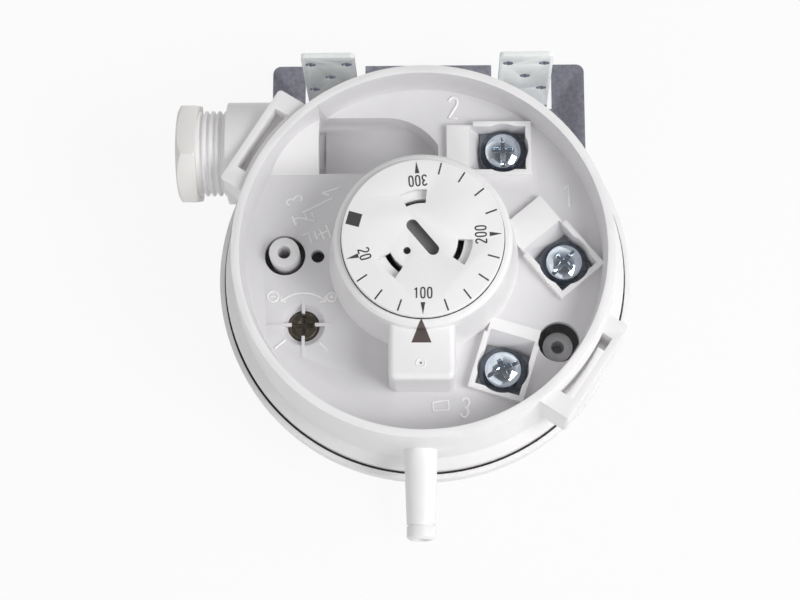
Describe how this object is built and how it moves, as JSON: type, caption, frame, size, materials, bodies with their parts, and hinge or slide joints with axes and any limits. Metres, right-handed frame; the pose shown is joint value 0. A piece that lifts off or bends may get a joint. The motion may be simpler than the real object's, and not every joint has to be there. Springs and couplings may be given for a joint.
{
  "type": "differential pressure switch",
  "caption": "Round open pressure switch with a central setting dial, screw terminals, cable gland, hose spigots and a sheet mounting bracket.",
  "frame": {"origin": "on the back face of the mounting bracket, on the axis of the round housing", "axes": "+Z from the bracket to the dial, -Y along the hose spigots, -X out of the cable gland"},
  "size_m": [0.1036, 0.1219, 0.0542],
  "materials": {
    "housing_plastic": "satin moulded",
    "pillar_plastic": "satin moulded",
    "dial_plastic": "satin, printed scale",
    "gland_plastic": "satin moulded",
    "dark_rubber": "matt",
    "seal_rubber": "matt",
    "galvanised_sheet": "mottled zinc",
    "zinc_steel": "zinc plated",
    "screw_zinc": "bright zinc plated",
    "dark_zinc": "dark zinc plated",
    "spring_steel": "drawn wire",
    "plated_brass": "nickel plated",
    "spring_brass": "rolled",
    "screw_brass": "turned, tarnished",
    "contact_silver": "bright"
  },
  "bodies": {
    "housing": {"front_housing": "housing_plastic", "rear_housing": "housing_plastic", "mechanism_plate": "pillar_plastic", "diaphragm": "dark_rubber", "range_spring": "spring_steel", "differential_spring": "spring_steel", "terminal_plate_1": "plated_brass", "terminal_plate_2": "plated_brass", "terminal_plate_3": "plated_brass", "lever_pin": "spring_steel", "fixed_contact_1": "contact_silver", "fixed_contact_2": "contact_silver", "gland_seal": "seal_rubber", "housing_screws": "screw_zinc", "bracket_screws": "screw_zinc", "mounting_bracket": "galvanised_sheet"},
    "dial": {"dial_knob": "dial_plastic"},
    "seat": {"spring_seat": "pillar_plastic"},
    "piston": {"diaphragm_plate": "pillar_plastic", "diaphragm_clamp_disc": "zinc_steel"},
    "lever": {"contact_lever": "spring_brass", "moving_contact": "contact_silver"},
    "differential": {"differential_screw": "screw_brass"},
    "slider": {"differential_slider": "pillar_plastic"},
    "washer_1": {"terminal_washer_1": "dark_zinc"},
    "washer_2": {"terminal_washer_2": "dark_zinc"},
    "washer_3": {"terminal_washer_3": "dark_zinc"},
    "screw_1": {"terminal_screw_1": "screw_zinc"},
    "screw_2": {"terminal_screw_2": "screw_zinc"},
    "screw_3": {"terminal_screw_3": "screw_zinc"},
    "thrust_washer": {"gland_washer": "gland_plastic"},
    "nut": {"gland_nut": "gland_plastic"}
  },
  "joints": [
    {"name": "dial_turn", "type": "hinge", "parent": "housing", "child": "dial", "pos_m": [0, 0, 0.0529], "axis": [0, 0, 1], "range_deg": [-184.6, 73.8]},
    {"name": "seat_slide", "type": "slide", "parent": "housing", "child": "seat", "axis": [0, 0, 1], "range_m": [-0.00154, 0.00061], "deforming": ["range_spring"]},
    {"name": "piston_lift", "type": "slide", "parent": "housing", "child": "piston", "axis": [0, 0, 1], "range_m": [0, 0.00045], "deforming": ["diaphragm"]},
    {"name": "lever_tip", "type": "hinge", "parent": "housing", "child": "lever", "pos_m": [0.0181, -0.015, 0.02775], "axis": [1, 0, 0], "range_deg": [0, 2.35]},
    {"name": "differential_turn", "type": "hinge", "parent": "housing", "child": "differential", "pos_m": [-0.0269, -0.0152, 0.0338], "axis": [0, 0, 1], "range_deg": [-135, 135]},
    {"name": "slider_slide", "type": "slide", "parent": "housing", "child": "slider", "axis": [0, 0, 1], "range_m": [-0.00026, 0.00026], "deforming": ["differential_spring"]},
    {"name": "washer_1_lift", "type": "slide", "parent": "housing", "child": "washer_1", "axis": [0, 0, 1], "range_m": [0, 0.0014]},
    {"name": "screw_1_turn", "type": "hinge", "parent": "washer_1", "child": "screw_1", "pos_m": [0.0315, -0.0011, 0.0361], "axis": [0, 0, 1], "range_deg": [0, 720]},
    {"name": "washer_2_lift", "type": "slide", "parent": "housing", "child": "washer_2", "axis": [0, 0, 1], "range_m": [0, 0.0014]},
    {"name": "screw_2_turn", "type": "hinge", "parent": "washer_2", "child": "screw_2", "pos_m": [0.0181, 0.0252, 0.0361], "axis": [0, 0, 1], "range_deg": [0, 720]},
    {"name": "washer_3_lift", "type": "slide", "parent": "housing", "child": "washer_3", "axis": [0, 0, 1], "range_m": [0, 0.0014]},
    {"name": "screw_3_turn", "type": "hinge", "parent": "washer_3", "child": "screw_3", "pos_m": [0.0175, -0.0256, 0.0361], "axis": [0, 0, 1], "range_deg": [0, 720]},
    {"name": "thrust_washer_slide", "type": "slide", "parent": "housing", "child": "thrust_washer", "axis": [-1, 0, 0], "range_m": [0, 0.0015]},
    {"name": "gland_nut_turn", "type": "hinge", "parent": "thrust_washer", "child": "nut", "pos_m": [-0.0535, 0.0266, 0.0314], "axis": [-1, 0, 0], "range_deg": [0, 360]}
  ],
  "couplings": [
    {"joint": "dial_turn", "follows": "seat_slide", "rad_per_m": 2094.4},
    {"joint": "lever_tip", "follows": "piston_lift", "rad_per_m": 90.909},
    {"joint": "differential_turn", "follows": "slider_slide", "rad_per_m": -8976},
    {"joint": "screw_1_turn", "follows": "washer_1_lift", "rad_per_m": 8976},
    {"joint": "screw_2_turn", "follows": "washer_2_lift", "rad_per_m": 8976},
    {"joint": "screw_3_turn", "follows": "washer_3_lift", "rad_per_m": 8976},
    {"joint": "gland_nut_turn", "follows": "thrust_washer_slide", "rad_per_m": 4188.8}
  ]
}
